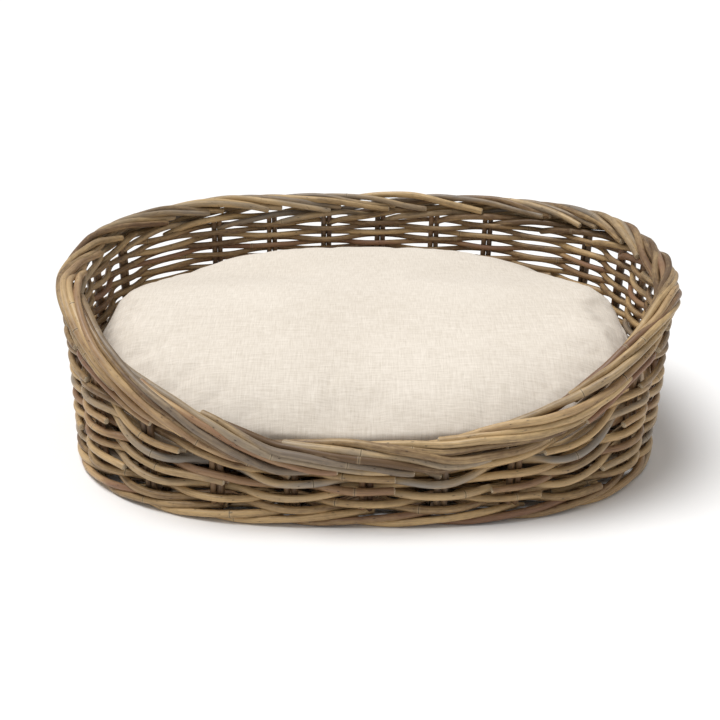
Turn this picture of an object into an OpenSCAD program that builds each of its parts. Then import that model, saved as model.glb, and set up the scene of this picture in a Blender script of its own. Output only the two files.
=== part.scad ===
// Oval pet bed basket, woven from rattan cane, with a lift-out cushion.
// The rim is high at the back and the ends and dips at the front.
// Origin: middle of the footprint, on the floor. +X runs along the long side,
// -Y is the low front, +Z is up. All lengths are in millimetres.

/* [Oval plan] */
// Half length of the line of stakes at the foot
plan_a = 333; // [300:1:370]
// Half depth of the line of stakes at the foot
plan_b = 266; // [235:1:290]
// Squareness of the oval, where 2 is a plain ellipse
plan_power = 2.7; // [2:0.1:3]
// Outward lean of the wall for each millimetre of height
wall_lean = 0.027; // [0:0.001:0.035]

/* [Stakes] */
// Number of stake pairs round the wall
stake_pairs = 26; // [26]
// Diameter of one stake
stake_d = 7.5; // [6:0.1:7.6]
// How far the stakes at the back sit to the right of those at the front
back_shift = 20; // [0:1:24]
// Length of the leg that runs in beside the base sticks
stake_leg = 34; // [20:1:36]

/* [Weave] */
// Diameter of a weaving cane
weaver_d = 7; // [5:0.1:7]
// Height of one row at the low front
front_pitch = 7.45; // [7.1:0.05:8]
// Height of one row at the ends and the back
back_pitch = 7.5; // [7.2:0.05:8]
// Number of places round the wall over which a short row fades in
row_fade = 1; // [0.8:0.1:1.4]

/* [Rim] */
// Diameter of a border cane
border_d = 8.4; // [7:0.1:8.6]
// Half width of the roll on which the border canes lie
border_roll = 9.4; // [9:0.1:11]
// Half height of that roll
border_rise = 13.8; // [10:0.1:15]
// How far the roll of the rim stands out from the line of stakes
rim_out = 3.5; // [0:0.1:4]
// Number of stake places that one border cane passes
border_span = 4; // [4]

/* [Base] */
// Thickness of the weave under the base sticks
base_under = 7; // [4:0.1:7]
// Thickness of the weave over the base sticks
base_over = 3.5; // [2:0.1:4]
// Diameter of a cross stick
cross_stick_d = 7.4; // [6:0.1:7.6]
// Diameter of a long stick, which passes through the cross sticks
long_stick_d = 4; // [3:0.1:4.6]

/* [Cushion] */
// Half length of the cushion
cushion_a = 319; // [300:1:322]
// Half depth of the cushion
cushion_b = 252; // [230:1:254]
// Height of the seam above the floor
seam_z = 75; // [65:1:90]
// Height of the crown above the floor
crown_z = 168; // [140:1:170]
// Thickness of the cover cloth with its lining
cover_t = 1.6; // [1:0.1:2]

/* [Zip] */
// Length of the zip opening
zip_length = 330; // [250:1:340]
// Distance of the zip behind the middle
zip_y = 60; // [40:1:70]

/* [Hidden] */

cane_sides = 5;
stake_gap = 0.2;
foot_strand_r = 3.4;
foot_centre_z = 3.5;
leg_z = 11;
bend_r = 8;
weave_start = 7.8;
stake_half_pair = (stake_d + stake_gap) / 2;
flat_half = 10;
weave_side = stake_d / 2 + weaver_d / 2 + 0.4;
rim_gap = 0.6;

// Rows from the foot up: -1 is a full row, and another number is the short pair it belongs to.
row_order = [-1, -1, -1, 3, 3, -1, 0, 0, -1, 4, 4, -1, 1, 1, -1, 5, 5, 2, 2, 6, 6, 7, 7];
row_count = len(row_order);
// Stake place, counted from the front, where each short pair begins on the right and on the left.
pair_start_right = [0.9, 1.6, 2.2, 2.6, 2.9, 3.2, 3.6, 4.0];
pair_start_left = [1.1, 1.7, 2.1, 2.6, 2.9, 3.3, 3.6, 4.0];

// ---- the oval plan, measured by the distance along it from the middle of the front ----
arc_steps = 720;
function oval(angle, a, b) =
    pow(pow(abs(cos(angle)) / a, plan_power) + pow(abs(sin(angle)) / b, plan_power), -1 / plan_power)
    * [cos(angle), sin(angle)];
function step_point(i) = oval(-90 + 360 * i / arc_steps, plan_a, plan_b);
arc_table = [for (i = 0, s = 0; i <= arc_steps; s = s + norm(step_point(i + 1) - step_point(i)), i = i + 1)
             [s, -90 + 360 * i / arc_steps]];
oval_length = arc_table[arc_steps][0];
function wrap(s) = s - oval_length * floor(s / oval_length);
function plan_point(s) = oval(lookup(wrap(s), arc_table), plan_a, plan_b);
function steep(v, half) = sign(v) * pow(abs(v), plan_power - 1) / pow(half, plan_power);
function plan_normal(s) =
    let (p = plan_point(s), g = [steep(p.x, plan_a), steep(p.y, plan_b)]) g / norm(g);
// Point on the wall: s along the plan, out from the line of stakes, z above the floor.
function wall_point(s, out, z) =
    let (p = plan_point(s) + plan_normal(s) * (out + wall_lean * z)) [p.x, p.y, z];
// Distance along the plan of stake place t, which may fall between two stakes.
function place_s(t) = oval_length * t / stake_pairs - back_shift / 2 * (1 - cos(360 * t / stake_pairs));

// ---- heights of the rows ----
function fade(x) = let (c = min(1, max(0, x))) c * c * (3 - 2 * c);
function lap(t) = t - stake_pairs * floor(t / stake_pairs);
function pair_share(k, t) =
    fade((lap(t) - pair_start_right[k]) / row_fade)
    * fade((stake_pairs - lap(t) - pair_start_left[k]) / row_fade);
function row_share(j, t) = row_order[j] < 0 ? 1 : pair_share(row_order[j], t);
function rows_below(j, t) = j <= 0 ? 0 : row_share(j - 1, t) + rows_below(j - 1, t);
full_count = len([for (k = row_order) if (k < 0) k]);
function pitch(t) =
    let (high = (rows_below(row_count, t) - full_count) / (row_count - full_count))
    front_pitch + (back_pitch - front_pitch) * high;
function row_z(j, t) = weave_start + pitch(t) * (rows_below(j, t) + row_share(j, t) / 2);
function wall_top(t) = weave_start + pitch(t) * rows_below(row_count, t);
function rim_z(t) = wall_top(t) + rim_gap + border_rise + border_d / 2;

// ---- canes as swept tubes: c is a list of [centre, outward direction] ----
function cane_ring(c, r) =
    [for (k = [0:cane_sides - 1]) let (a = 90 + 360 * k / cane_sides)
     c[0] + r * cos(a) * c[1] + [0, 0, r * sin(a)]];
function skin(rings, closed) =
    [for (i = [0:rings - (closed ? 1 : 2)], k = [0:cane_sides - 1], half = [0, 1])
     let (a = i * cane_sides, b = ((i + 1) % rings) * cane_sides, n = (k + 1) % cane_sides)
     half == 0 ? [a + k, b + k, b + n] : [a + k, b + n, a + n]];
function end_cap(first, turn) =
    [for (k = [1:cane_sides - 2]) turn ? [first, first + k + 1, first + k] : [first, first + k, first + k + 1]];
module cane(centres, d, closed) {
    rings = len(centres);
    polyhedron(
        points = [for (c = centres) each cane_ring(c, d / 2)],
        faces = closed ? skin(rings, true)
            : concat(skin(rings, false), end_cap(0, false), end_cap((rings - 1) * cane_sides, true)));
}
function wall_centre(s, out, z) =
    let (n = plan_normal(s)) [wall_point(s, out, z), [n.x, n.y, 0]];

// ---- one row of weaving: outside one stake pair, inside the next ----
function row_place(j, i, along) =
    let (s = place_s(i) + along, t = i + along * stake_pairs / oval_length,
         out = weave_side * (((i + j) % 2 == 0) ? 1 : -1))
    wall_centre(s, out, row_z(j, t));
function row_centres(j, first, last) =
    [for (i = [first:last], along = [-flat_half, flat_half]) row_place(j, i, along)];
module full_row(j) {
    cane(row_centres(j, 0, stake_pairs - 1), weaver_d, true);
}
module short_row(j) {
    k = row_order[j];
    first = ceil(pair_start_right[k] + row_fade);
    last = stake_pairs - ceil(pair_start_left[k] + row_fade);
    cane(row_centres(j, first, last), weaver_d, false);
}

// ---- stakes: a leg beside the base sticks, a bend and an upright ----
module stake(t, side) {
    s = place_s(t);
    foot = wall_point(s, 0, 0);
    n = plan_normal(s);
    upright = wall_top(t) - leg_z - bend_r - 0.3;
    translate([foot.x, foot.y, leg_z + bend_r])
        rotate([0, 0, atan2(n.y, n.x)])
            translate([wall_lean * (leg_z + bend_r), side * stake_half_pair, 0]) {
                rotate([0, atan(wall_lean), 0]) cylinder(d = stake_d, h = upright, $fn = 24);
                translate([-bend_r, 0, 0]) {
                    rotate([90, 0, 0]) rotate_extrude(angle = -90, $fn = 48)
                        translate([bend_r, 0]) circle(d = stake_d, $fn = 24);
                    translate([0, 0, -bend_r]) rotate([0, -90, 0])
                        cylinder(d = stake_d, h = stake_leg, $fn = 24);
                }
            }
}
module stakes(first, last) {
    color("#6b5136") for (t = [first:last], side = [-1, 1]) stake(t, side);
}
module stakes_front() { stakes(-3, 3); }
module stakes_right() { stakes(4, 9); }
module stakes_back() { stakes(10, 16); }
module stakes_left() { stakes(17, 22); }

// ---- base: sticks, and the weave that lies over and under them ----
function oval_outline(a, b, points = 96) = [for (i = [0:points - 1]) oval(360 * i / points, a, b)];
// Half length of a line across the base oval at a distance from its middle.
function base_reach(across, half_across, half_along) =
    half_along * pow(1 - pow(abs(across) / half_across, plan_power), 1 / plan_power);
stick_gap = oval_length / stake_pairs;
cross_places = [for (k = [-3.5:1:3.5]) k * stick_gap];
long_places = [for (k = [-1:1:1]) k * stick_gap];
base_a = plan_a - 9;
base_b = plan_b - 9;
stick_inset = 14;
// Only the middle cross sticks fit between the stake legs; the others stop short of the legs.
short_stick_inset = 52;
function cross_inset(x) = abs(x) > stick_gap ? short_stick_inset : stick_inset;

module base_long_sticks() {
    color("#a58a5f") for (y = long_places)
        translate([0, y, leg_z]) rotate([0, 90, 0])
            cylinder(d = long_stick_d, h = 2 * (base_reach(y, base_b, base_a) - stick_inset), center = true, $fn = 24);
}
module base_cross_sticks() {
    color("#a08457") for (x = cross_places) difference() {
        translate([x, 0, leg_z]) rotate([90, 0, 0])
            cylinder(d = cross_stick_d, h = 2 * (base_reach(x, base_a, base_b) - cross_inset(x)), center = true, $fn = 24);
        for (y = long_places)
            translate([x, y, leg_z]) rotate([0, 90, 0])
                cylinder(d = long_stick_d + 0.2, h = 2 * cross_stick_d, center = true, $fn = 24);
    }
}
module base_weave() {
    over_inset = 12;
    color("#b39a6c") {
        linear_extrude(base_under) polygon(oval_outline(base_a, base_b));
        translate([0, 0, leg_z + stake_d / 2 + 0.35])
            linear_extrude(base_over) polygon(oval_outline(base_a - over_inset, base_b - over_inset));
    }
}

// ---- wall ----
module foot_wale() {
    turns = 42;
    color("#b59b6a") for (out = [-3.8, 3.8])
        cane([for (k = [0:turns - 1]) wall_centre(oval_length * k / turns, out, foot_centre_z)],
             2 * foot_strand_r, true);
}
module upsett_row() {
    color("#ad9263")
        cane([for (i = [0:stake_pairs - 1], along = [-flat_half, flat_half])
              wall_centre(place_s(i) + along, weave_side, row_z(0, 0))], weaver_d, true);
}
module full_rows() {
    color("#a98d5e") for (j = [1:row_count - 1]) if (row_order[j] < 0) full_row(j);
}
module short_rows(low, high) {
    color("#b0956a") for (j = [low:high]) if (row_order[j] >= 0) short_row(j);
}
module short_rows_low() { short_rows(0, 10); }
module short_rows_middle() { short_rows(11, 16); }
module short_rows_high() { short_rows(17, row_count - 1); }

// ---- rim: each border cane starts inside, rolls over the top and goes down outside ----
border_start_angle = 215;
border_turn = 270;
border_rings = 12;
function border_centre(i, u) =
    let (t = i + border_span * u, s = place_s(t), a = border_start_angle - border_turn * u)
    wall_centre(s, rim_out + border_roll * cos(a), rim_z(t) + border_rise * sin(a));
module rim_border() {
    color("#bba070") for (i = [0:stake_pairs - 1])
        cane([for (k = [0:border_rings]) border_centre(i, k / border_rings)], border_d, false);
}

// ---- cushion: rings of the same oval, where f is the share of its full size ----
cushion_segments = 40;
bottom_z = leg_z + stake_d / 2 + 0.35 + base_over + 0.9;
function dome_z(f, inset) = seam_z + (crown_z - seam_z - inset) * sqrt(max(0, 1 - pow(f, 7)));
function dish_z(f, inset) = seam_z - (seam_z - bottom_z - inset) * sqrt(max(0, 1 - pow(f, 8)));
dome_shares = [1, 0.99, 0.965, 0.92, 0.84, 0.7, 0.45];
dish_shares = [1, 0.99, 0.965, 0.92, 0.84, 0.7];
function cushion_ring(f, inset, z) =
    [for (i = [0:cushion_segments - 1])
     let (p = oval(360 * i / cushion_segments, (cushion_a - inset), (cushion_b - inset)) * f) [p.x, p.y, z]];
function band(first, second, n) =
    [for (k = [0:n - 1], half = [0, 1]) let (m = (k + 1) % n)
     half == 0 ? [first + k, second + k, second + m] : [first + k, second + m, first + m]];
function fan(first, n, tip, turn) =
    [for (k = [0:n - 1]) let (m = (k + 1) % n) turn ? [first + m, first + k, tip] : [first + k, first + m, tip]];
// Closed shell between an outer and an inner set of rings, each ending in a middle point.
module shell(outer, inner, outer_tip, inner_tip, up) {
    n = cushion_segments;
    rings = len(outer);
    start = rings * n;
    out_faces = concat(
        [for (i = [0:rings - 2]) each band(i * n, (i + 1) * n, n)],
        fan((rings - 1) * n, n, 2 * start, true));
    in_faces = concat(
        [for (i = [0:rings - 2]) each band(start + (i + 1) * n, start + i * n, n)],
        fan(start + (rings - 1) * n, n, 2 * start + 1, false));
    edge = band(start, 0, n);
    all_faces = concat(out_faces, in_faces, edge);
    polyhedron(
        points = concat([for (r = outer) each r], [for (r = inner) each r], [outer_tip, inner_tip]),
        faces = up ? all_faces : [for (f = all_faces) [f[2], f[1], f[0]]]);
}
seam_gap = 0.3;
module cover_top_panel() {
    color("#ddd3c2") shell(
        [for (f = dome_shares) cushion_ring(f, 0, dome_z(f, 0) + seam_gap)],
        [for (f = dome_shares) cushion_ring(f, cover_t, dome_z(f, cover_t) + seam_gap)],
        [0, 0, crown_z + seam_gap], [0, 0, crown_z - cover_t + seam_gap], true);
}
zip_slot = 12;
module cover_bottom_panel() {
    color("#d6ccba") difference() {
        shell(
            [for (f = dish_shares) cushion_ring(f, 0, dish_z(f, 0))],
            [for (f = dish_shares) cushion_ring(f, cover_t, dish_z(f, cover_t))],
            [0, 0, bottom_z], [0, 0, bottom_z + cover_t], false);
        translate([-zip_length / 2, zip_y - zip_slot / 2, bottom_z - 2])
            cube([zip_length, zip_slot, cover_t + 4]);
    }
}
fill_gap = 4.5;
fill_base = 7;
module cushion_filling() {
    n = cushion_segments;
    levels = concat(
        [for (f = [0.7, 0.84, 0.92, 0.965]) [f, max(dish_z(f, fill_gap), bottom_z + fill_base)]],
        [[1, seam_z]],
        [for (i = [2:len(dome_shares) - 1]) [dome_shares[i], dome_z(dome_shares[i], fill_gap)]]);
    rings = len(levels);
    color("#f4f1ea") polyhedron(
        points = concat([for (l = levels) each cushion_ring(l[0], fill_gap, l[1])],
                        [[0, 0, bottom_z + fill_base], [0, 0, crown_z - fill_gap]]),
        faces = concat(
            [for (i = [0:rings - 2]) each band(i * n, (i + 1) * n, n)],
            fan(0, n, rings * n, false), fan((rings - 1) * n, n, rings * n + 1, true)));
}

// ---- zip: two tapes with their teeth above the slot, a slider between the stops ----
teeth_z = bottom_z + cover_t + 0.9;
teeth_h = 1.4;
teeth_w = 2.3;
teeth_gap = 0.7;
tape_w = 12;
tape_t = 0.6;
slider_l = 9;
slider_w = 9;
plate_t = 1;
web_t = 0.8;
stop_l = 2.4;
slider_start = zip_length / 2 - 12;

module zip_tapes() {
    color("#cfc5b2") for (m = [0, 1]) translate([0, zip_y, 0]) mirror([0, m, 0])
        translate([-zip_length / 2, teeth_gap, teeth_z + teeth_h]) cube([zip_length, tape_w, tape_t]);
}
module zip_teeth() {
    clear_l = zip_length - 2 * (stop_l + 0.6);
    color("#c9bfac") for (m = [0, 1]) translate([0, zip_y, 0]) mirror([0, m, 0])
        translate([-clear_l / 2, teeth_gap, teeth_z]) cube([clear_l, teeth_w, teeth_h]);
}
module zip_stops() {
    color("#8d8a84") for (m = [0, 1], n = [0, 1])
        translate([0, zip_y, 0]) mirror([m, 0, 0]) mirror([0, n, 0])
            translate([zip_length / 2 - stop_l, teeth_gap, teeth_z]) cube([stop_l, teeth_w, teeth_h]);
}
lower_plate_z = teeth_z - 0.3 - plate_t;
upper_plate_z = teeth_z + teeth_h + tape_t + 0.4;
module zip_slider() {
    flange_w = 0.9;
    color("#9c9992") translate([slider_start, zip_y, 0]) union() {
        translate([-slider_l / 2, -slider_w / 2, lower_plate_z]) cube([slider_l, slider_w, plate_t]);
        translate([-slider_l / 2, -slider_w / 2 + 1, upper_plate_z]) cube([slider_l, slider_w - 2, plate_t]);
        translate([-slider_l / 2, -web_t / 2, lower_plate_z])
            cube([slider_l, web_t, upper_plate_z - lower_plate_z + plate_t]);
        for (m = [0, 1]) mirror([0, m, 0])
            translate([-slider_l / 2, slider_w / 2 - flange_w, lower_plate_z])
                cube([slider_l, flange_w, plate_t + teeth_h - 0.4]);
    }
}
pull_t = 0.6;
pull_l = 20;
pull_w = 5;
module zip_pull() {
    color("#a5a29b") translate([slider_start + 1 - pull_l, zip_y, lower_plate_z - 0.15 - pull_t]) difference() {
        union() {
            translate([0, -pull_w / 2, 0]) cube([pull_l - pull_w / 2, pull_w, pull_t]);
            translate([pull_l - pull_w / 2, 0, 0]) cylinder(d = pull_w, h = pull_t, $fn = 32);
        }
        translate([pull_l - pull_w / 2, 0, -1]) cylinder(d = 2, h = pull_t + 2, $fn = 24);
        translate([4, 0, -1]) cylinder(d = 2.4, h = pull_t + 2, $fn = 24);
    }
}

base_long_sticks();
base_cross_sticks();
base_weave();
foot_wale();
stakes_front();
stakes_right();
stakes_back();
stakes_left();
upsett_row();
full_rows();
short_rows_low();
short_rows_middle();
short_rows_high();
rim_border();
cushion_filling();
cover_top_panel();
cover_bottom_panel();
zip_tapes();
zip_teeth();
zip_stops();
zip_slider();
zip_pull();
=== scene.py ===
import math

import bpy
import numpy as np
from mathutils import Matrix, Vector


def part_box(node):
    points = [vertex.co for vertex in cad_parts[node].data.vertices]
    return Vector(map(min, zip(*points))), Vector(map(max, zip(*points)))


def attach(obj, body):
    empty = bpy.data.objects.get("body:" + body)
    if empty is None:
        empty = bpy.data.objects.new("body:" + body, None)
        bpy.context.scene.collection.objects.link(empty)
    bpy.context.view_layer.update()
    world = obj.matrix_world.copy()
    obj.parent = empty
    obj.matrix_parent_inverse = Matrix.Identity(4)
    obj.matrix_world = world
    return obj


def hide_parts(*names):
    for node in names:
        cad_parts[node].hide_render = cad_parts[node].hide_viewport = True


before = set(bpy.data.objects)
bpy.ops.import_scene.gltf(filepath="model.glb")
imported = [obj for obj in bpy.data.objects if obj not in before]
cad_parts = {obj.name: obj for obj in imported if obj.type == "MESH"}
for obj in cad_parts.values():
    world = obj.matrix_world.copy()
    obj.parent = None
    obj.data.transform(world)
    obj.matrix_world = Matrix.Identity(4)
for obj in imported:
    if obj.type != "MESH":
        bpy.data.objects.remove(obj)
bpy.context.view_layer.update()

scene = bpy.context.scene


# camera and studio
studio = {
    "cameraAt": (-0.0055, -1.241, 0.583),
    "lookDown": 22.34,            # degrees below the horizon
    "lens": 54.25,
    "sensor": 36.0,
    "floorSize": 40.0,
    "floorColour": (0.93, 0.925, 0.922, 1),
    "skyColour": (1.0, 0.995, 0.985, 1),
    "skyStrength": 0.44,
    "backdrop": 1.0,
    "key": {"strength": 2.6, "spread": 32, "from": (-0.31, 0.03, 1.0)},
}


def addSoftLight(name, s):
    # a wide sun lights the whole floor alike, so the background stays even
    bpy.ops.object.light_add(type="SUN", location=(0, 0, 2))
    lamp = bpy.context.object
    lamp.name = name
    lamp.data.energy = s["strength"]
    lamp.data.angle = math.radians(s["spread"])
    lamp.rotation_euler = Vector(s["from"]).to_track_quat("Z", "Y").to_euler()


def setStudio():
    bpy.ops.object.camera_add(location=studio["cameraAt"])
    camera = bpy.context.object
    camera.name = "mainCamera"
    camera.rotation_euler = (math.radians(90 - studio["lookDown"]), 0, 0)
    camera.data.lens = studio["lens"]
    camera.data.sensor_width = studio["sensor"]
    camera.data.clip_end = 60
    scene.camera = camera

    world = bpy.data.worlds.new("paleStudio")
    scene.world = world
    world.use_nodes = True
    sky = world.node_tree.nodes["Background"]
    sky.inputs["Color"].default_value = studio["skyColour"]
    # the backdrop past the floor's edge is seen brighter than it lights
    seen = world.node_tree.nodes.new("ShaderNodeLightPath")
    glow = world.node_tree.nodes.new("ShaderNodeMapRange")
    glow.inputs["To Min"].default_value = studio["skyStrength"]
    glow.inputs["To Max"].default_value = studio["backdrop"]
    world.node_tree.links.new(seen.outputs["Is Camera Ray"], glow.inputs["Value"])
    world.node_tree.links.new(glow.outputs[0], sky.inputs["Strength"])
    addSoftLight("keyLight", studio["key"])

    bpy.ops.mesh.primitive_plane_add(size=studio["floorSize"], location=(0, 0, 0))
    floor = bpy.context.object
    floor.name = "studioFloor"
    paint = bpy.data.materials.new("floorPaper")
    paint.use_nodes = True
    shader = paint.node_tree.nodes["Principled BSDF"]
    shader.inputs["Base Color"].default_value = studio["floorColour"]
    shader.inputs["Roughness"].default_value = 0.55
    shader.inputs["Specular IOR Level"].default_value = 0.25
    floor.data.materials.append(paint)
    scene.view_settings.view_transform = "Standard"


setStudio()
print("studio ready")


# the oval plan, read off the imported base
baseLow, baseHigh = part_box("base_weave")
plan = {
    "a": baseHigh.x + 0.009,      # half length of the line of stakes at the foot
    "b": baseHigh.y + 0.009,
    "power": 2.7,
    "lean": 0.027,
    "settle": 0.02,               # the basket has sagged a little to the right as it dried
    "pairs": 26,
    "backShift": 0.020,
    "steps": 2880,
}


def ovalPoint(angle, a, b):
    c, s = np.cos(angle), np.sin(angle)
    n = plan["power"]
    r = ((np.abs(c) / a) ** n + (np.abs(s) / b) ** n) ** (-1 / n)
    return r * c, r * s


planAngles = np.linspace(-math.pi / 2, 1.5 * math.pi, plan["steps"] + 1)
planX, planY = ovalPoint(planAngles, plan["a"], plan["b"])
planArc = np.concatenate([[0], np.cumsum(np.hypot(np.diff(planX), np.diff(planY)))])
planLength = planArc[-1]
pairGap = planLength / plan["pairs"]


def alongPlan(s):
    # point and outward normal at a distance along the oval from the middle of the front
    angle = np.interp(np.mod(s, planLength), planArc, planAngles)
    x, y = ovalPoint(angle, plan["a"], plan["b"])
    gx = np.sign(x) * np.abs(x) ** (plan["power"] - 1) / plan["a"] ** plan["power"]
    gy = np.sign(y) * np.abs(y) ** (plan["power"] - 1) / plan["b"] ** plan["power"]
    g = np.hypot(gx, gy)
    return x, y, gx / g, gy / g


def wallPoint(s, out, z):
    x, y, nx, ny = alongPlan(np.asarray(s, float))
    reach = out + plan["lean"] * np.asarray(z, float)
    return np.stack([x + nx * reach + plan["settle"] * np.asarray(z, float), y + ny * reach,
                     np.broadcast_to(z, np.shape(x))], axis=-1)


def placeS(t):
    # distance along the oval of stake place t, which may fall between two stakes
    lap = np.asarray(t, float) / plan["pairs"]
    return planLength * lap - plan["backShift"] / 2 * (1 - np.cos(2 * math.pi * lap))


# heights of the rows, as the part lays them
weave = {
    "order": [-1, -1, -1, 3, 3, -1, 0, 0, -1, 4, 4, -1, 1, 1, -1, 5, 5, 2, 2, 6, 6, 7, 7],
    "startRight": [0.9, 1.6, 2.2, 2.6, 2.9, 3.2, 3.6, 4.0],
    "startLeft": [1.1, 1.7, 2.1, 2.6, 2.9, 3.3, 3.6, 4.0],
    "fade": 1.0,
    "footHeight": 0.0078,
    "frontPitch": 0.00745,
    "backPitch": 0.0075,
    "rimLift": 0.0186,            # from the top row to the middle of the rim
}
rowCount = len(weave["order"])
fullCount = weave["order"].count(-1)


def fade(x):
    c = np.clip(x, 0, 1)
    return c * c * (3 - 2 * c)


def rowShare(j, t):
    k = weave["order"][j]
    if k < 0:
        return np.ones_like(t)
    lap = np.mod(t, plan["pairs"])
    right = fade((lap - weave["startRight"][k]) / weave["fade"])
    left = fade((plan["pairs"] - lap - weave["startLeft"][k]) / weave["fade"])
    return right * left


def pitchAt(t):
    total = sum(rowShare(j, t) for j in range(rowCount))
    high = (total - fullCount) / (rowCount - fullCount)
    return weave["frontPitch"] + (weave["backPitch"] - weave["frontPitch"]) * high


def rowZ(j, t):
    below = sum((rowShare(k, t) for k in range(j)), np.zeros_like(t))
    return weave["footHeight"] + pitchAt(t) * (below + rowShare(j, t) / 2)


def wallTop(t):
    t = np.asarray(t, float)
    return weave["footHeight"] + pitchAt(t) * sum(rowShare(j, t) for j in range(rowCount))


def rimZ(t):
    return wallTop(t) + weave["rimLift"]


# a cane: a round stem swept along a path, with nodes, grain and cut ends
caneLook = {
    "sides": 12,
    "nodeGap": (0.16, 0.36),      # distance between the rings where leaves grew
    "nodeSwell": 0.07,
    "nodeHalf": 0.0022,
    "ringHalf": 0.0011,
    "ringEdge": 0.0009,           # the mesh has an extra loop this far each side of a ring
    "wander": 0.035,              # how much the thickness drifts along a cane
    "wanderRate": (18, 40),
    "shortestStep": 0.0004,
    "cutRound": 0.0019,
    "cutEdge": (0.84, 0.62),      # width and depth of the rounded edge, as shares
    "cutFace": (0.5, 0.95),
    "cutTip": 1.05,
}


class caneBundle:
    def __init__(self, name, seed, sides=None):
        self.name = name
        self.rng = np.random.default_rng(seed)
        self.sides = sides or caneLook["sides"]
        self.points, self.faces, self.grain, self.look = [], [], [], []
        self.count = 0

    def add(self, path, radius, step, tone=None, flat=1.0, firstSide=None):
        rng = self.rng
        path = np.asarray(path, float)
        gaps = np.linalg.norm(np.diff(path, axis=0), axis=1)
        arc = np.concatenate([[0], np.cumsum(gaps)])
        total = arc[-1]
        tone = rng.uniform(0, 1) if tone is None else tone
        # grey goes from reddish brown at 0 through plain at 0.5 to weathered at 1
        grey = float(np.clip(rng.normal(0.52, 0.2), 0, 1))
        stops = list(np.linspace(0, total, max(3, int(total / step))))
        rings = []
        half, edge = caneLook["nodeHalf"], caneLook["ringEdge"]
        at = rng.uniform(0.02, caneLook["nodeGap"][1])
        while at < total - 0.01:
            rings.append(at)
            stops += [at - half, at - edge, at, at + edge, at + half]
            at += rng.uniform(*caneLook["nodeGap"])
        stops = np.array(sorted(stops))
        stops = stops[(stops >= 0) & (stops <= total)]
        keep = np.concatenate([[True], np.diff(stops) > caneLook["shortestStep"]])
        stops = stops[keep]
        centre = np.stack([np.interp(stops, arc, path[:, k]) for k in range(3)], axis=1)
        ahead = np.gradient(centre, axis=0)
        ahead /= np.linalg.norm(ahead, axis=1)[:, None]
        side = np.cross([0, 0, 1.0], ahead[0]) if firstSide is None else np.asarray(firstSide, float)
        sides = np.zeros_like(centre)
        for i, a in enumerate(ahead):
            if firstSide is None and abs(a[2]) < 0.9:
                side = np.cross([0, 0, 1.0], a)
            side = side - a * np.dot(side, a)
            side = side / np.linalg.norm(side)
            sides[i] = side
        ups = np.cross(ahead, sides)
        nearRing, swell = np.zeros(len(stops)), np.zeros(len(stops))
        for at in rings:
            nearRing = np.maximum(nearRing, np.exp(-((stops - at) / caneLook["ringHalf"]) ** 2))
            swell = np.maximum(swell, np.exp(-((stops - at) / half) ** 2))
        rate = rng.uniform(*caneLook["wanderRate"])
        wander = 1 + caneLook["wander"] * np.sin(stops * rate + rng.uniform(0, 6.28))
        size = radius * wander * (1 + caneLook["nodeSwell"] * swell)
        turn = 2 * math.pi * np.arange(self.sides) / self.sides
        c, s = np.cos(turn), np.sin(turn)
        ringPoints = (centre[:, None, :] + size[:, None, None]
                      * (c[None, :, None] * sides[:, None, :] + flat * s[None, :, None] * ups[:, None, :]))
        seed = rng.uniform(0, 50)
        grain = np.zeros((len(stops), self.sides, 3))
        grain[:, :, 0] = radius * c[None, :] + seed * 0.37
        grain[:, :, 1] = radius * s[None, :]
        grain[:, :, 2] = stops[:, None] + seed
        look = np.zeros((len(stops), self.sides, 4))
        look[:, :, 0] = tone
        look[:, :, 1] = grey
        look[:, :, 2] = nearRing[:, None]
        start = self.count
        m, n = len(stops), self.sides
        k = np.arange(n)
        nextK = (k + 1) % n
        for i in range(m - 1):
            a, b = start + i * n, start + (i + 1) * n
            self.faces += [(a + p, a + q, b + q, b + p) for p, q in zip(k, nextK)]
        self.points.append(ringPoints.reshape(-1, 3))
        self.grain.append(grain.reshape(-1, 3))
        self.look.append(look.reshape(-1, 4))
        self.count += m * n
        self.cut(start, ringPoints[0], centre[0], -ahead[0], grain[0], look[0], False)
        self.cut(start + (m - 1) * n, ringPoints[-1], centre[-1], ahead[-1], grain[-1], look[-1], True)

    def cut(self, first, ring, centre, away, grain, look, atEnd):
        # a sawn end: the bark stops at a small round edge and the pale pith shows
        n = self.sides
        deep = away * caneLook["cutRound"]
        edge, face = (centre + (ring - centre) * width + deep * depth
                      for width, depth in (caneLook["cutEdge"], caneLook["cutFace"]))
        tip = (centre + deep * caneLook["cutTip"])[None, :]
        cutLook = look.copy()
        cutLook[:, 2] = 0
        cutLook[:, 3] = 1
        start = self.count
        self.points += [edge, face, tip]
        self.grain += [grain, grain * [0.5, 0.5, 1], grain[:1]]
        self.look += [cutLook, cutLook, cutLook[:1]]
        self.count += 2 * n + 1
        for p in range(n):
            q = (p + 1) % n
            quads = [(first + p, first + q, start + q, start + p),
                     (start + p, start + q, start + n + q, start + n + p),
                     (start + n + p, start + n + q, start + 2 * n)]
            self.faces += quads if atEnd else [f[::-1] for f in quads]

    def build(self, material, body, slot, *nodes):
        mesh = bpy.data.meshes.new(self.name)
        mesh.from_pydata(np.concatenate(self.points), [], self.faces)
        grain = mesh.attributes.new("caneGrain", "FLOAT_VECTOR", "POINT")
        grain.data.foreach_set("vector", np.concatenate(self.grain).astype(np.float32).ravel())
        look = mesh.attributes.new("caneLook", "FLOAT_COLOR", "POINT")
        look.data.foreach_set("color", np.concatenate(self.look).astype(np.float32).ravel())
        mesh.shade_smooth()
        piece = bpy.data.objects.new(self.name, mesh)
        scene.collection.objects.link(piece)
        mesh.materials.append(material)
        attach(piece, body)
        if nodes:
            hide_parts(*nodes)
        print(self.name, len(self.faces), "faces")
        return piece


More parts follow.
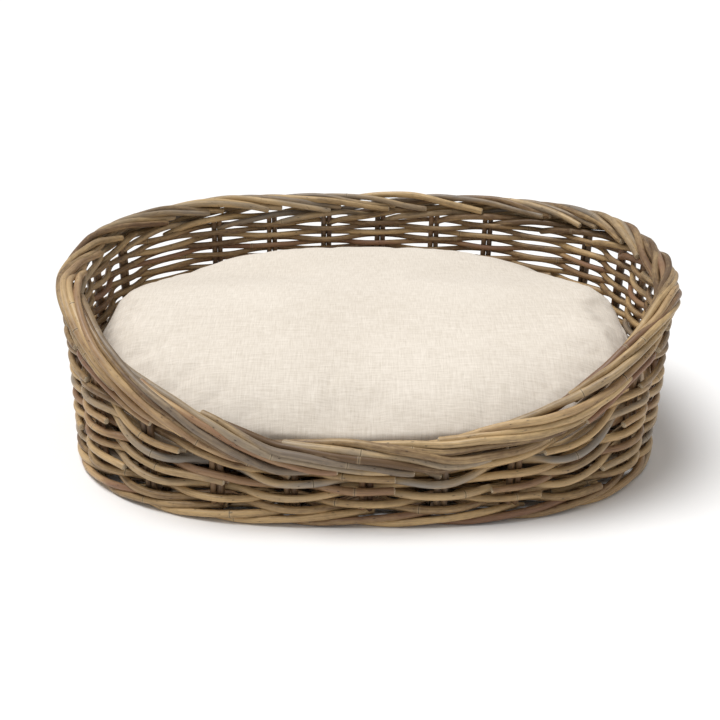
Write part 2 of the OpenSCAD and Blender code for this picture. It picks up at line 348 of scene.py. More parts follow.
# shader helpers
def put(tree, kind, values=None, **settings):
    node = tree.nodes.new(kind)
    for key, value in settings.items():
        setattr(node, key, value)
    for key, value in (values or {}).items():
        node.inputs[key].default_value = value
    return node


def wire(tree, fromSocket, toSocket):
    tree.links.new(fromSocket, toSocket)


def mixColour(tree, factor, first, second, blend="MIX"):
    # factor and colours are sockets or plain values
    node = put(tree, "ShaderNodeMix", data_type="RGBA", blend_type=blend)
    for socket, value in ((node.inputs[0], factor), (node.inputs[6], first), (node.inputs[7], second)):
        if isinstance(value, bpy.types.NodeSocket):
            wire(tree, value, socket)
        else:
            socket.default_value = value
    return node.outputs[2]


def maths(tree, operation, first, second=0.0, clamp=False):
    node = put(tree, "ShaderNodeMath", operation=operation, use_clamp=clamp)
    for socket, value in ((node.inputs[0], first), (node.inputs[1], second)):
        if isinstance(value, bpy.types.NodeSocket):
            wire(tree, value, socket)
        else:
            socket.default_value = value
    return node.outputs[0]


def remap(tree, value, low, high, toLow=0.0, toHigh=1.0):
    node = put(tree, "ShaderNodeMapRange", {1: low, 2: high, 3: toLow, 4: toHigh}, clamp=True)
    wire(tree, value, node.inputs[0])
    return node.outputs[0]


def noise(tree, coords, scale, detail=2.0, rough=0.5):
    # scale is a triple, so a pattern may be drawn out along one way
    spread = put(tree, "ShaderNodeMapping", {"Scale": scale})
    wire(tree, coords, spread.inputs["Vector"])
    node = put(tree, "ShaderNodeTexNoise", {"Scale": 1.0, "Detail": detail, "Roughness": rough})
    wire(tree, spread.outputs[0], node.inputs["Vector"])
    return node.outputs["Fac"]


def newGroup(name, inputs, outputs):
    group = bpy.data.node_groups.new(name, "ShaderNodeTree")
    for label, kind, value in inputs:
        socket = group.interface.new_socket(label, in_out="INPUT", socket_type=kind)
        if value is not None:
            socket.default_value = value
    for label, kind in outputs:
        group.interface.new_socket(label, in_out="OUTPUT", socket_type=kind)
    return group, group.nodes.new("NodeGroupInput"), group.nodes.new("NodeGroupOutput")


def paintPart(node, material):
    # a piece that keeps the part's own shape only gets a new look
    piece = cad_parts[node]
    piece.data.materials.clear()
    piece.data.materials.append(material)


# the bark of rattan cane
def makeCaneBark():
    group, given, result = newGroup(
        "caneBark",
        [("Grain", "NodeSocketVector", None), ("Tone", "NodeSocketFloat", 0.5),
         ("Grey", "NodeSocketFloat", 0.0), ("Ring", "NodeSocketFloat", 0.0), ("Cut", "NodeSocketFloat", 0.0),
         ("Pale", "NodeSocketColor", (0.56, 0.42, 0.22, 1)),
         ("Dark", "NodeSocketColor", (0.2, 0.13, 0.06, 1)),
         ("Reddish", "NodeSocketColor", (0.26, 0.13, 0.075, 1)),
         ("Weathered", "NodeSocketColor", (0.3, 0.26, 0.2, 1))],
        [("Colour", "NodeSocketColor"), ("Roughness", "NodeSocketFloat"), ("Height", "NodeSocketFloat")])
    grain = given.outputs["Grain"]
    streak = noise(group, grain, (700, 700, 14), 3.0, 0.6)
    fibre = noise(group, grain, (2600, 2600, 60), 2.0, 0.6)
    patch = noise(group, grain, (60, 60, 9), 2.0, 0.55)
    mottle = noise(group, grain, (240, 240, 110), 3.0, 0.65)
    lean = maths(group, "MULTIPLY", maths(group, "SUBTRACT", streak, 0.5), 1.1)
    body = maths(group, "MULTIPLY", maths(group, "SUBTRACT", patch, 0.5), 1.7)
    small = maths(group, "MULTIPLY", maths(group, "SUBTRACT", mottle, 0.5), 0.9)
    shade = maths(group, "ADD", maths(group, "ADD", given.outputs["Tone"], lean),
                  maths(group, "ADD", body, small), clamp=True)
    colour = mixColour(group, shade, given.outputs["Pale"], given.outputs["Dark"])
    redMask = maths(group, "MULTIPLY", remap(group, given.outputs["Grey"], 0.42, 0.1),
                    remap(group, patch, 0.36, 0.54, 0.25, 0.9))
    colour = mixColour(group, redMask, colour, given.outputs["Reddish"])
    greyMask = maths(group, "MULTIPLY", remap(group, given.outputs["Grey"], 0.55, 0.9),
                     remap(group, patch, 0.4, 0.58, 0.2, 1.0))
    colour = mixColour(group, greyMask, colour, given.outputs["Weathered"])
    fineLine = remap(group, fibre, 0.3, 0.7, 0.78, 1.15)
    colour = mixColour(group, 1.0, colour, fineLine, "MULTIPLY")
    spots = put(group, "ShaderNodeTexVoronoi", {"Scale": 1.0, "Randomness": 1.0}, feature="F1")
    spotSpread = put(group, "ShaderNodeMapping", {"Scale": (330, 330, 120)})
    wire(group, grain, spotSpread.inputs["Vector"])
    wire(group, spotSpread.outputs[0], spots.inputs["Vector"])
    spotMask = maths(group, "MULTIPLY", remap(group, spots.outputs["Distance"], 0.12, 0.24, 1.0, 0.0),
                     remap(group, mottle, 0.48, 0.6))
    colour = mixColour(group, maths(group, "MULTIPLY", spotMask, 0.8), colour, (0.045, 0.026, 0.015, 1))
    # where a leaf grew: a pale band with a dark line in it
    band = remap(group, given.outputs["Ring"], 0.02, 0.4, 0.0, 0.28)
    colour = mixColour(group, band, colour, (0.56, 0.44, 0.27, 1))
    scar = maths(group, "MULTIPLY", remap(group, given.outputs["Ring"], 0.62, 0.95),
                 remap(group, mottle, 0.3, 0.55, 0.5, 1.0))
    colour = mixColour(group, scar, colour, (0.05, 0.03, 0.018, 1))
    pith = mixColour(group, remap(group, noise(group, grain, (1500, 1500, 1500), 1.0), 0.42, 0.6),
                     (0.26, 0.18, 0.1, 1), (0.64, 0.54, 0.38, 1))
    colour = mixColour(group, given.outputs["Cut"], colour, pith)
    rough = remap(group, streak, 0.3, 0.7, 0.36, 0.55)
    rough = maths(group, "ADD", rough, maths(group, "MULTIPLY", given.outputs["Cut"], 0.3), clamp=True)
    height = maths(group, "ADD", maths(group, "MULTIPLY", fibre, 0.5), maths(group, "MULTIPLY", streak, 0.6))
    height = maths(group, "SUBTRACT", height, maths(group, "MULTIPLY", given.outputs["Ring"], 0.8))
    wire(group, colour, result.inputs["Colour"])
    wire(group, rough, result.inputs["Roughness"])
    wire(group, height, result.inputs["Height"])
    return group


caneBark = makeCaneBark()


def caneMaterial(name, pale, dark, weathered, onPart=None):
    # onPart is the way a plain CAD stick runs, because it carries no grain of its own
    material = bpy.data.materials.new(name)
    material.use_nodes = True
    tree = material.node_tree
    shader = tree.nodes["Principled BSDF"]
    bark = put(tree, "ShaderNodeGroup", node_tree=caneBark)
    bark.inputs["Pale"].default_value = pale
    bark.inputs["Dark"].default_value = dark
    bark.inputs["Weathered"].default_value = weathered
    bark.inputs["Reddish"].default_value = (0.27, 0.14, 0.08, 1)
    if onPart is None:
        grain = put(tree, "ShaderNodeAttribute", attribute_name="caneGrain")
        look = put(tree, "ShaderNodeAttribute", attribute_name="caneLook")
        parts = put(tree, "ShaderNodeSeparateColor")
        wire(tree, grain.outputs["Vector"], bark.inputs["Grain"])
        wire(tree, look.outputs["Color"], parts.inputs[0])
        wire(tree, parts.outputs[0], bark.inputs["Tone"])
        wire(tree, parts.outputs[1], bark.inputs["Grey"])
        wire(tree, parts.outputs[2], bark.inputs["Ring"])
        wire(tree, look.outputs["Alpha"], bark.inputs["Cut"])
    else:
        place = put(tree, "ShaderNodeTexCoord")
        turn = put(tree, "ShaderNodeMapping", {"Rotation": onPart})
        wire(tree, place.outputs["Object"], turn.inputs["Vector"])
        wire(tree, turn.outputs[0], bark.inputs["Grain"])
        bark.inputs["Tone"].default_value = 0.45
        bark.inputs["Grey"].default_value = 0.5
    relief = put(tree, "ShaderNodeBump", {"Strength": 0.4, "Distance": 0.0005})
    wire(tree, bark.outputs["Height"], relief.inputs["Height"])
    wire(tree, bark.outputs["Colour"], shader.inputs["Base Color"])
    wire(tree, bark.outputs["Roughness"], shader.inputs["Roughness"])
    wire(tree, relief.outputs[0], shader.inputs["Normal"])
    shader.inputs["Specular IOR Level"].default_value = 0.42
    return material


caneColours = {
    "weaver": {"pale": (0.565, 0.383, 0.183, 1), "dark": (0.13, 0.07, 0.032, 1),
               "weathered": (0.28, 0.24, 0.195, 1)},
    "border": {"pale": (0.575, 0.40, 0.198, 1), "dark": (0.13, 0.074, 0.034, 1),
               "weathered": (0.26, 0.228, 0.19, 1)},
    "stake": {"pale": (0.26, 0.155, 0.075, 1), "dark": (0.07, 0.038, 0.02, 1),
              "weathered": (0.17, 0.13, 0.1, 1)},
    "stick": {"pale": (0.45, 0.33, 0.18, 1), "dark": (0.18, 0.12, 0.055, 1),
              "weathered": (0.27, 0.23, 0.17, 1)},
}
weaverCane = caneMaterial("weaverCane", **caneColours["weaver"])
borderCane = caneMaterial("borderCane", **caneColours["border"])
stakeCane = caneMaterial("stakeCane", **caneColours["stake"])
crossStickCane = caneMaterial("crossStickCane", **caneColours["stick"], onPart=(math.radians(90), 0, 0))
longStickCane = caneMaterial("longStickCane", **caneColours["stick"], onPart=(0, math.radians(90), 0))
print("cane materials ready")


# the woven rows
rows = {
    "fullRadius": (0.0039, 0.0044),
    "shortRadius": (0.0034, 0.0040),
    "side": 0.0079,               # from the line of stakes to the middle of a passing cane
    "flatten": 0.75,
    "hold": 0.78,                 # share of the fade at which a short row's end shows
    "wave": 0.0008,
    "lapBefore": 0.33,            # a full row's canes overlap by this much of a stake gap at each end
    "lapAfter": 0.36,
    "step": 0.0052,
}


def swing(t, j):
    # from 1 outside a stake pair to -1 inside the next, a little flattened at each pair
    return np.tanh(rows["flatten"] * np.cos(math.pi * (t + j))) / math.tanh(rows["flatten"])


def rowPath(j, first, last, holdFirst=None, holdLast=None, rng=None):
    t = np.linspace(first, last, max(8, int((last - first) * 22)))
    c = swing(t, j)
    if holdFirst is not None:
        c = np.where(t < holdFirst, swing(np.array([holdFirst]), j)[0], c)
    if holdLast is not None:
        c = np.where(t > holdLast, swing(np.array([holdLast]), j)[0], c)
    s = placeS(t)
    # the waves that neighbouring rows share, then this cane's own
    wave = rows["wave"]
    drift = wave * np.sin(s * 21 + 0.35 * j) + wave * 0.7 * np.sin(s * 47 + 0.6 * j + 1)
    own = rng.uniform(0, 6.28, 2)
    drift = drift + wave * 0.7 * np.sin(s * 33 + own[0]) + wave * 0.4 * np.sin(s * 71 + own[1])
    out = rows["side"] * c + 0.0007 * np.sin(s * 29 + own[1])
    return wallPoint(s, out, rowZ(j, t) + drift)


def addRow(bundle, j):
    k = weave["order"][j]
    rng = bundle.rng
    pairs = plan["pairs"]
    if k < 0:
        # a full row is two canes, each lapped with the next round one outer stake pair
        starts = [p for p in range(pairs) if (p + j) % 2 == 0]
        begin = starts[int(rng.integers(0, len(starts)))]
        span = 2 * int(rng.integers(5, 9))
        laps = [begin, begin + span, begin + pairs]
        for a, b in zip(laps[:-1], laps[1:]):
            first, last = a - rows["lapBefore"], b + rows["lapAfter"]
            path = rowPath(j, first, last, holdLast=b, rng=rng)
            inside = swing(np.array([a + 1.0]), j)[0] * rows["side"]
            t = np.linspace(first, last, len(path))
            early = t < a + 1
            s = placeS(t[early])
            path[early] = wallPoint(s, inside, path[early][:, 2])
            bundle.add(path, rng.uniform(*rows["fullRadius"]), rows["step"], tone=rng.uniform(0, 0.9))
    else:
        first = math.ceil(weave["startRight"][k] + weave["fade"])
        last = pairs - math.ceil(weave["startLeft"][k] + weave["fade"])
        begin = weave["startRight"][k] + rows["hold"] * weave["fade"]
        end = pairs - weave["startLeft"][k] - rows["hold"] * weave["fade"]
        path = rowPath(j, begin, end, holdFirst=first, holdLast=last, rng=rng)
        bundle.add(path, rng.uniform(*rows["shortRadius"]), rows["step"], tone=rng.uniform(0, 0.75))


def makeRows(name, seed, indices, node):
    bundle = caneBundle(name, seed)
    for j in indices:
        addRow(bundle, j)
    return bundle.build(weaverCane, "basket", "weaving_cane", node)


order = weave["order"]
makeRows("fullRowCanes", 11, [j for j in range(1, rowCount) if order[j] < 0], "full_rows")
makeRows("shortRowCanesLow", 12, [j for j in range(0, 11) if order[j] >= 0], "short_rows_low")
makeRows("shortRowCanesMiddle", 13, [j for j in range(11, 17) if order[j] >= 0], "short_rows_middle")
makeRows("shortRowCanesHigh", 14, [j for j in range(17, rowCount) if order[j] >= 0], "short_rows_high")


# foot wale: each cane comes out low, passes two stake pairs and dives in above
foot = {
    "before": 0.4,                # where a strand comes out, ahead of its stake pair
    "span": 2.5,
    "jitter": 0.0004,
    "points": 44,
    "step": 0.005,
    "radius": (0.0036, 0.0041),
    "u": [0, 0.12, 0.3, 0.5, 0.72, 0.86, 1.0],
    "out": [-0.0045, 0.001, 0.0072, 0.0085, 0.0078, 0.0035, -0.003],
    "z": [0.0042, 0.0040, 0.0042, 0.0075, 0.0116, 0.0132, 0.0136],
}


def smoothCurve(u, knots, values):
    # Catmull-Rom through a few knots
    knots, values = np.asarray(knots, float), np.asarray(values, float)
    slopes = np.gradient(values, knots)
    i = np.clip(np.searchsorted(knots, u, side="right") - 1, 0, len(knots) - 2)
    h = knots[i + 1] - knots[i]
    x = (u - knots[i]) / h
    return ((2 * x**3 - 3 * x**2 + 1) * values[i] + (x**3 - 2 * x**2 + x) * h * slopes[i]
            + (-2 * x**3 + 3 * x**2) * values[i + 1] + (x**3 - x**2) * h * slopes[i + 1])


def makeFoot():
    bundle = caneBundle("footWaleCanes", 21)
    for i in range(plan["pairs"]):
        u = np.linspace(0, 1, foot["points"])
        t = i - foot["before"] + foot["span"] * u
        jitter = bundle.rng.uniform(-foot["jitter"], foot["jitter"], 2)
        path = wallPoint(placeS(t), smoothCurve(u, foot["u"], foot["out"]) + jitter[0],
                         smoothCurve(u, foot["u"], foot["z"]) + abs(jitter[1]))
        bundle.add(path, bundle.rng.uniform(*foot["radius"]), foot["step"])
    return bundle.build(weaverCane, "basket", "weaving_cane", "foot_wale", "upsett_row")


makeFoot()


# stakes: a leg in the base, a bend and an upright pair
stakes = {
    "radius": (0.00345, 0.0038),
    "legZ": 0.011,
    "bend": 0.008,
    "leg": 0.034,
    "half": 0.0039,               # from the middle of a pair to the middle of each stake
    "intoRim": 0.006,
    "bow": 0.0003,
    "step": 0.006,
}


def makeStakes(name, seed, first, node):
    bundle = caneBundle(name, seed)
    for i in range(first, first + plan["pairs"] // 4):
        for side in (-1, 1):
            rng = bundle.rng
            s = placeS(np.array([float(i)]))
            x, y, nx, ny = (float(v[0]) for v in alongPlan(s))
            outWay, acrossWay = np.array([nx, ny, 0]), np.array([-ny, nx, 0])
            at = np.array([x, y, 0]) + acrossWay * side * stakes["half"]
            legZ, bend = stakes["legZ"], stakes["bend"]
            top = float(wallTop(np.array([float(i)]))[0]) + stakes["intoRim"]
            places = [(-bend - stakes["leg"] * (1 - f), legZ) for f in (0, 0.5, 1)]
            for a in np.radians([18, 36, 54, 72]):
                places.append((-bend + bend * math.sin(a), legZ + bend - bend * math.cos(a)))
            places += [(0, z) for z in np.linspace(legZ + bend, top, 12)]
            bow = rng.uniform(-stakes["bow"], stakes["bow"])
            path = [at + outWay * (out + plan["lean"] * z) + acrossWay * bow * math.sin(z * 40)
                    + np.array([plan["settle"] * z, 0, z]) for out, z in places]
            bundle.add(path, rng.uniform(*stakes["radius"]), stakes["step"], firstSide=acrossWay)
    return bundle.build(stakeCane, "basket", "stake_cane", node)


makeStakes("stakeCanesFront", 31, -3, "stakes_front")
makeStakes("stakeCanesRight", 32, 4, "stakes_right")
makeStakes("stakeCanesBack", 33, 11, "stakes_back")
makeStakes("stakeCanesLeft", 34, 18, "stakes_left")


# rolled rim: v runs from a cut end inside, over the top, down outside and in to a stake
rim = {
    "out": 0.0018,
    "v": [0.0, 0.5, 1.0, 1.5, 2.0, 2.5, 3.0, 3.5, 4.0, 4.35, 4.7, 5.0, 5.4, 5.75, 6.0],
    "across": [-9.2, -10.0, -7.8, -2.2, 3.8, 8.2, 10.0, 10.2, 8.8, 5.5, 0.0, -6.0, -9.0, -6.5, -1.0],
    "up": [-3.0, 4.5, 10.8, 13.8, 12.8, 8.5, 1.8, -6.0, -12.6, -12.4, -9.0, -9.5, -13.0, -18.0, -25.0],
    "radius": (0.0038, 0.0044),
    "mate": 0.5,                  # the second cane of a pair lies this far ahead in the roll
    "mateFrom": 0.3,
    "mateTo": 4.1,
    "mateThinner": 0.97,
    "skipped": 0.15,              # share of the pairs whose second cane is broken off inside
    "frontPairs": 3.5,            # near the low front the second canes begin on top of the roll
    "frontFrom": 1.3,
    "sway": 0.0021,
    "step": 0.0042,
}


def swayed(rng, v, size):
    # a cane never lies quite true in the roll
    a, b, c = rng.uniform(0, 6.28, 3)
    return size * (0.65 * np.sin(v * 1.6 + a) + 0.45 * np.sin(v * 3.1 + b) + 0.2 * np.sin(v * 6.3 + c))


def rimPath(i, w, v, rng, reach=1.0):
    t = i + w
    across = smoothCurve(v, rim["v"], rim["across"]) * 0.001 * reach + swayed(rng, v, rim["sway"])
    up = smoothCurve(v, rim["v"], rim["up"]) * 0.001 * reach + swayed(rng, v, rim["sway"])
    return wallPoint(placeS(t), rim["out"] + across, rimZ(t) + up)


def makeRim():
    bundle = caneBundle("rimCanes", 41, sides=14)
    for i in range(plan["pairs"]):
        rng = bundle.rng
        w = np.linspace(rng.uniform(-0.15, 0.2), 5.98, 150)
        path = rimPath(i, w, np.clip(w, 0, 6), rng)
        bundle.add(path, rng.uniform(*rim["radius"]), rim["step"])
    for i in range(plan["pairs"]):
        rng = bundle.rng
        if rng.uniform() < rim["skipped"]:
            continue
        begins = i + 1.0
        fromFront = min(begins % plan["pairs"], plan["pairs"] - begins % plan["pairs"])
        if fromFront < rim["frontPairs"]:
            v = np.linspace(rim["frontFrom"] + rng.uniform(-0.15, 0.15), rim["mateTo"], 90)
            reach = rng.uniform(0.92, 1.08)
        else:
            v = np.linspace(rim["mateFrom"] + rng.uniform(-0.1, 0.1), rim["mateTo"], 110)
            reach = 0.5 + rng.uniform(0.32, 0.56) * fade((v - rim["mateFrom"]) / 1.2)
        path = rimPath(i, v - rim["mate"], v, rng, reach)
        bundle.add(path, rng.uniform(*rim["radius"]) * rim["mateThinner"], rim["step"])
    return bundle.build(borderCane, "basket", "border_cane", "rim_border")


makeRim()


# base: flat canes woven over and under the cross sticks and the stake legs
base = {
    "pitch": 0.0069,
    "width": 0.0033,
    "flat": 0.58,
    "inset": 0.007,
    "overZ": 0.0166,
    "underZ": 0.0054,
    "leg": 0.042,                 # how far the stake legs reach in under the weave
    "clear": 0.03,                # a crossing stays this far from a cane's end
    "facing": 0.75,               # only legs that run nearly across the canes count as crossings
    "sample": 0.006,
    "sticks": 8,
    "squareness": 1.6,
    "sideways": 0.0004,
    "step": 0.0075,
}


def baseReach(y, a, b):
    return a * max(0.0, 1 - (abs(y) / b) ** plan["power"]) ** (1 / plan["power"])


def makeBase():
    bundle = caneBundle("baseWeaveCanes", 51, sides=8)
    legs = []
    for i in range(plan["pairs"]):
        x, y, nx, ny = (float(v[0]) for v in alongPlan(placeS(np.array([float(i)]))))
        legs.append((x, y, nx, ny))
    sticks = [(k - (base["sticks"] - 1) / 2) * pairGap for k in range(base["sticks"])]
    count = int(2 * (baseHigh.y - 0.008) / base["pitch"])
    for k in range(count):
        y = (k - (count - 1) / 2) * base["pitch"]
        half = baseReach(y, baseHigh.x, baseHigh.y) - base["inset"]
        if half < 0.05:
            continue
        clear = half - base["clear"]
        crossings = [x for x in sticks if abs(x) < clear]
        for x, ly, nx, ny in legs:
            tipY = ly - ny * base["leg"]
            if abs(ny) > base["facing"] and min(ly, tipY) < y < max(ly, tipY) and abs(x) < clear:
                crossings.append(x - nx * abs(ly - y) / abs(ny))
        crossings = sorted(crossings)
        if len(crossings) < 2:
            crossings = [-base["clear"], base["clear"]]
        x = np.linspace(-half, half, max(10, int(2 * half / base["sample"])))
        turns = np.interp(x, crossings, np.arange(len(crossings)))
        wave = np.tanh(base["squareness"] * np.cos(math.pi * (turns + k))) / math.tanh(base["squareness"])
        middle, swingZ = (base["overZ"] + base["underZ"]) / 2, (base["overZ"] - base["underZ"]) / 2
        drift = base["sideways"] * np.sin(x * 40 + k)
        path = np.stack([x, np.full_like(x, y) + drift, middle + swingZ * wave], axis=1)
        bundle.add(path, base["width"], base["step"], flat=base["flat"])
    return bundle.build(weaverCane, "basket", "weaving_cane", "base_weave")


makeBase()
paintPart("base_cross_sticks", crossStickCane)
paintPart("base_long_sticks", longStickCane)
print("base done")


# cushion
cushion = {
    "domePower": (12.0, 34.0),    # how square the edge is at the back and at the two ends
    # how much of the height is the slow rise towards the middle, by the way one goes from there
    "crownEnds": 0.2,
    "crownCorners": 0.46,
    "crownBack": 0.2,
    "crownFront": 0.9,
    "dishPower": 8.0,
    "middleLift": 0.012,          # the widest level of the stuffed cushion lies a little above the seam
    "shrink": 0.002,
    "voxel": 0.0055,
    "pressure": 4.0,
    "frames": 20,
    "cap": 0.006,                 # no point of the cover moves further than this
    "cloth": {"quality": 5, "stretch": 18, "shear": 10, "bend": 0.6},
    "heldHeight": 0.012,          # the cover is held still this far up from its underside
    "foldAngle": 50,
    "seamPull": 0.0022,
    "seamHalf": 0.0035,
    "slotWidth": 0.012,           # the opening in the underside that the zip closes
    "slotSpare": 0.003,           # room past each end of the tapes for the pull
    "sliderRoom": 0.0008,
    "rings": 64,
    "segments": 128,
}
topLow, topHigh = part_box("cover_top_panel")
bottomLow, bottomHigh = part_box("cover_bottom_panel")
tapeLow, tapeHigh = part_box("zip_tapes")
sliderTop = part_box("zip_slider")[1].z
widestZ = bottomHigh.z + cushion["middleLift"]


def selectOnly(piece):
    bpy.ops.object.select_all(action="DESELECT")
    piece.select_set(True)
    bpy.context.view_layer.objects.active = piece


def cushionShape(piece, inset):
    # turns a sphere into the filled oval: a crowned top and a dish that is flat underneath
    co = np.array([v.co for v in piece.data.vertices])
    flatR = np.clip(np.hypot(co[:, 0], co[:, 1]), 0, 1)
    angle = np.arctan2(co[:, 1], co[:, 0])
    x, y = ovalPoint(angle, topHigh.x - inset, topHigh.y - inset)
    polar = np.abs(np.arcsin(np.clip(co[:, 2], -1, 1))) / (math.pi / 2)
    backPower, endPower = cushion["domePower"]
    square = backPower + (endPower - backPower) * np.cos(angle) ** 4
    share = np.where(co[:, 2] >= 0, np.cos(polar * math.pi / 2) ** (2 / square),
                     np.cos(polar * math.pi / 2) ** (2 / cushion["dishPower"]))
    share = np.where(flatR < 1e-6, 0, share)
    up = (topHigh.z - widestZ) * np.sqrt(np.clip(1 - share ** square, 0, 1))
    back = np.clip(np.sin(angle), 0, 1)
    front = np.clip(-np.sin(angle), 0, 1) ** 1.5
    slowRise = (cushion["crownEnds"] + (cushion["crownCorners"] - cushion["crownEnds"]) * fade(back / 0.5)
                + (cushion["crownBack"] - cushion["crownCorners"]) * fade((back - 0.5) / 0.5)
                + (cushion["crownFront"] - cushion["crownEnds"]) * front)
    up = up * (1 - slowRise * share ** 2)
    down = (widestZ - bottomLow.z) * np.sqrt(np.clip(1 - share ** cushion["dishPower"], 0, 1))
    z = np.where(co[:, 2] >= 0, widestZ + up, widestZ - down)
    moved = np.stack([x * share, y * share, z], axis=1)
    piece.data.vertices.foreach_set("co", moved.astype(np.float32).ravel())
    piece.data.update()


def inflateCushion(piece):
    modifier = piece.modifiers.new("fill", "CLOTH")
    settings, cloth = modifier.settings, cushion["cloth"]
    settings.use_pressure = True
    settings.uniform_pressure_force = cushion["pressure"]
    settings.quality = cloth["quality"]
    settings.tension_stiffness = cloth["stretch"]
    settings.compression_stiffness = cloth["stretch"]
    settings.shear_stiffness = cloth["shear"]
    settings.bending_stiffness = cloth["bend"]
    settings.effector_weights.gravity = 0
    modifier.collision_settings.use_collision = False
    before = np.array([v.co for v in piece.data.vertices])
    low = before[:, 2] < bottomLow.z + cushion["heldHeight"]
    pin = piece.vertex_groups.new(name="held")
    pin.add([int(i) for i in np.nonzero(low)[0]], 1.0, "REPLACE")
    settings.vertex_group_mass = "held"
    for f in range(1, cushion["frames"] + 1):
        scene.frame_set(f)
    selectOnly(piece)
    bpy.ops.object.modifier_apply(modifier="fill")
    scene.frame_set(1)
    after = np.array([v.co for v in piece.data.vertices])
    move = after - before
    length = np.linalg.norm(move, axis=1)
    keep = np.minimum(1, cushion["cap"] / np.maximum(length, 1e-9))
    after = before + move * keep[:, None]
    piece.data.vertices.foreach_set("co", after.astype(np.float32).ravel())
    print("cushion swelled by up to", round(float(length.max() * 1000), 1), "mm before the cap")


def cutZipSlot(piece):
    # the underside is open under the zip, with room for the slider between the tapes
    middle = (tapeLow + tapeHigh) / 2
    low, high = bottomLow.z - 0.005, sliderTop + cushion["sliderRoom"]
    bpy.ops.mesh.primitive_cube_add(size=1, location=(middle.x, middle.y, (low + high) / 2))
    cutter = bpy.context.object
    cutter.scale = (tapeHigh.x - tapeLow.x + 2 * cushion["slotSpare"], cushion["slotWidth"], high - low)
    selectOnly(piece)
    slot = piece.modifiers.new("slot", "BOOLEAN")
    slot.operation = "DIFFERENCE"
    slot.solver = "EXACT"
    slot.object = cutter
    bpy.ops.object.modifier_apply(modifier="slot")
    bpy.data.objects.remove(cutter, do_unlink=True)


def makeCushion(material):
    bpy.ops.object.select_all(action="DESELECT")
    bpy.ops.mesh.primitive_uv_sphere_add(segments=cushion["segments"], ring_count=cushion["rings"], radius=1,
                                         location=(0, 0, 0))
    piece = bpy.context.object
    piece.name = "cushionCover"
    cushionShape(piece, cushion["shrink"])
    piece.data.remesh_voxel_size = cushion["voxel"]
    selectOnly(piece)
    bpy.ops.object.voxel_remesh()
    inflateCushion(piece)
    smooth = piece.modifiers.new("round", "SUBSURF")
    smooth.levels = smooth.render_levels = 1
    bpy.ops.object.modifier_apply(modifier="round")
    co = np.array([v.co for v in piece.data.vertices])
    co[:, 2] = np.maximum(co[:, 2], bottomLow.z)
    co[:, 2] = np.minimum(co[:, 2], topHigh.z + 0.001)
    # the seam draws the cloth in a little
    near = np.exp(-((co[:, 2] - bottomHigh.z) / cushion["seamHalf"]) ** 2) * cushion["seamPull"]
    r = np.maximum(np.hypot(co[:, 0], co[:, 1]), 1e-6)
    co[:, 0] -= co[:, 0] / r * near
    co[:, 1] -= co[:, 1] / r * near
    piece.data.vertices.foreach_set("co", co.astype(np.float32).ravel())
    piece.data.update()
    cutZipSlot(piece)
    bpy.ops.object.shade_smooth_by_angle(angle=math.radians(cushion["foldAngle"]))
    piece.data.materials.clear()
    piece.data.materials.append(material)
    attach(piece, "cushion")
    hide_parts("cover_top_panel", "cover_bottom_panel", "cushion_filling")
    print("cushion", len(piece.data.polygons), "faces")
    return piece


def makeClothWeave():
    group, given, result = newGroup(
        "clothWeave",
        [("Place", "NodeSocketVector", None), ("Thread", "NodeSocketFloat", 0.0011),
         ("Pale", "NodeSocketColor", (0.8, 0.75, 0.66, 1)),
         ("Dark", "NodeSocketColor", (0.6, 0.54, 0.45, 1))],
        [("Colour", "NodeSocketColor"), ("Height", "NodeSocketFloat")])
    place = given.outputs["Place"]
    wobble = noise(group, place, (90, 90, 90), 2.0)
    parts = put(group, "ShaderNodeSeparateXYZ")
    wire(group, place, parts.inputs[0])
    waves = []
    for axis in (0, 1):
        shifted = maths(group, "ADD", maths(group, "DIVIDE", parts.outputs[axis], given.outputs["Thread"]),
                        maths(group, "MULTIPLY", wobble, 0.5))
        waves.append(maths(group, "SINE", maths(group, "MULTIPLY", shifted, 2 * math.pi)))
    thread = maths(group, "MULTIPLY", waves[0], waves[1])
    over = remap(group, thread, -1, 1)
    slubX = noise(group, place, (60, 800, 60), 2.0, 0.7)
    slubY = noise(group, place, (800, 60, 60), 2.0, 0.7)
    slub = maths(group, "ADD", slubX, slubY)
    soft = noise(group, place, (7, 7, 7), 2.0)
    uneven = maths(group, "ADD", remap(group, slub, 0.6, 1.4, 0.0, 0.9),
                   remap(group, soft, 0.35, 0.65, -0.06, 0.1))
    shade = maths(group, "ADD", maths(group, "MULTIPLY", over, 0.2), uneven, clamp=True)
    colour = mixColour(group, shade, given.outputs["Dark"], given.outputs["Pale"])
    height = maths(group, "ADD", maths(group, "MULTIPLY", over, 0.6),
                   maths(group, "MULTIPLY", slub, 0.5))
    wire(group, colour, result.inputs["Colour"])
    wire(group, height, result.inputs["Height"])
    return group


clothWeave = makeClothWeave()


def clothMaterial(name, pale, dark, thread, bump):
    material = bpy.data.materials.new(name)
    material.use_nodes = True
    tree = material.node_tree
    shader = tree.nodes["Principled BSDF"]
    place = put(tree, "ShaderNodeTexCoord")
    cloth = put(tree, "ShaderNodeGroup", node_tree=clothWeave)
    cloth.inputs["Thread"].default_value = thread
    cloth.inputs["Pale"].default_value = pale
    cloth.inputs["Dark"].default_value = dark
    wire(tree, place.outputs["Object"], cloth.inputs["Place"])
    relief = put(tree, "ShaderNodeBump", {"Strength": bump, "Distance": 0.0004})
    wire(tree, cloth.outputs["Height"], relief.inputs["Height"])
    wire(tree, relief.outputs[0], shader.inputs["Normal"])
    wire(tree, cloth.outputs["Colour"], shader.inputs["Base Color"])
    shader.inputs["Roughness"].default_value = 0.92
    shader.inputs["Specular IOR Level"].default_value = 0.18
    shader.inputs["Sheen Weight"].default_value = 0.15
    return material


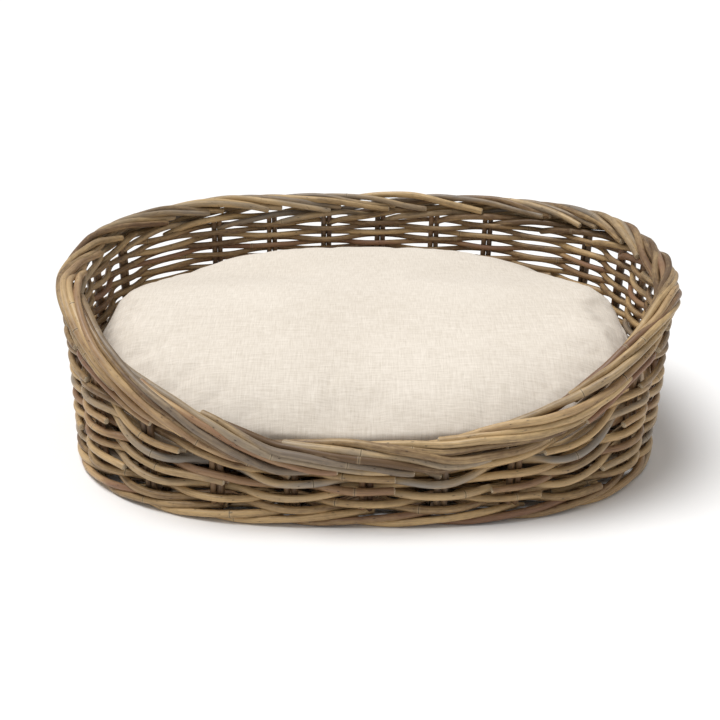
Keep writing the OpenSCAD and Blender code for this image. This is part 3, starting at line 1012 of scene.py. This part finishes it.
coverCloth = clothMaterial("coverCloth", (0.86, 0.79, 0.70, 1), (0.60, 0.53, 0.44, 1), 0.0014, 0.4)
makeCushion(coverCloth)


# zip: the part's own pieces, with a look for each
zipLook = {
    "tape": {"pale": (0.64, 0.57, 0.47, 1), "dark": (0.48, 0.42, 0.33, 1), "speck": 1400, "rib": 0.0009,
             "ribDepth": 0.8, "rough": (0.8, 0.95), "metal": 0.0},
    "coil": {"pale": (0.62, 0.57, 0.48, 1), "dark": (0.36, 0.32, 0.26, 1), "speck": 500, "rib": 0.0016,
             "ribDepth": 2.5, "rough": (0.35, 0.5), "metal": 0.0},
    "metal": {"pale": (0.68, 0.67, 0.64, 1), "dark": (0.5, 0.49, 0.46, 1), "speck": 350, "rib": 0.004,
              "ribDepth": 0.0, "rough": (0.22, 0.42), "metal": 1.0},
}


def zipMaterial(name, look):
    material = bpy.data.materials.new(name)
    material.use_nodes = True
    tree = material.node_tree
    shader = tree.nodes["Principled BSDF"]
    place = put(tree, "ShaderNodeTexCoord").outputs["Object"]
    speck = noise(tree, place, (look["speck"],) * 3, 3.0, 0.6)
    parts = put(tree, "ShaderNodeSeparateXYZ")
    wire(tree, place, parts.inputs[0])
    rib = maths(tree, "SINE", maths(tree, "MULTIPLY", parts.outputs[0], 2 * math.pi / look["rib"]))
    ribShade = maths(tree, "MULTIPLY", rib, 0.2 * look["ribDepth"])
    shade = maths(tree, "ADD", remap(tree, speck, 0.3, 0.7), ribShade, clamp=True)
    wire(tree, mixColour(tree, shade, look["dark"], look["pale"]), shader.inputs["Base Color"])
    wire(tree, remap(tree, speck, 0.3, 0.7, *look["rough"]), shader.inputs["Roughness"])
    relief = put(tree, "ShaderNodeBump", {"Strength": 0.5, "Distance": 0.0002})
    ribHeight = maths(tree, "MULTIPLY", rib, look["ribDepth"])
    wire(tree, maths(tree, "ADD", speck, ribHeight), relief.inputs["Height"])
    wire(tree, relief.outputs[0], shader.inputs["Normal"])
    shader.inputs["Metallic"].default_value = look["metal"]
    return material


zipTape = zipMaterial("zipTape", zipLook["tape"])
zipCoil = zipMaterial("zipCoil", zipLook["coil"])
zipMetal = zipMaterial("zipMetal", zipLook["metal"])
paintPart("zip_tapes", zipTape)
paintPart("zip_teeth", zipCoil)
for node in ("zip_stops", "zip_slider", "zip_pull"):
    paintPart(node, zipMetal)
print("zip done")
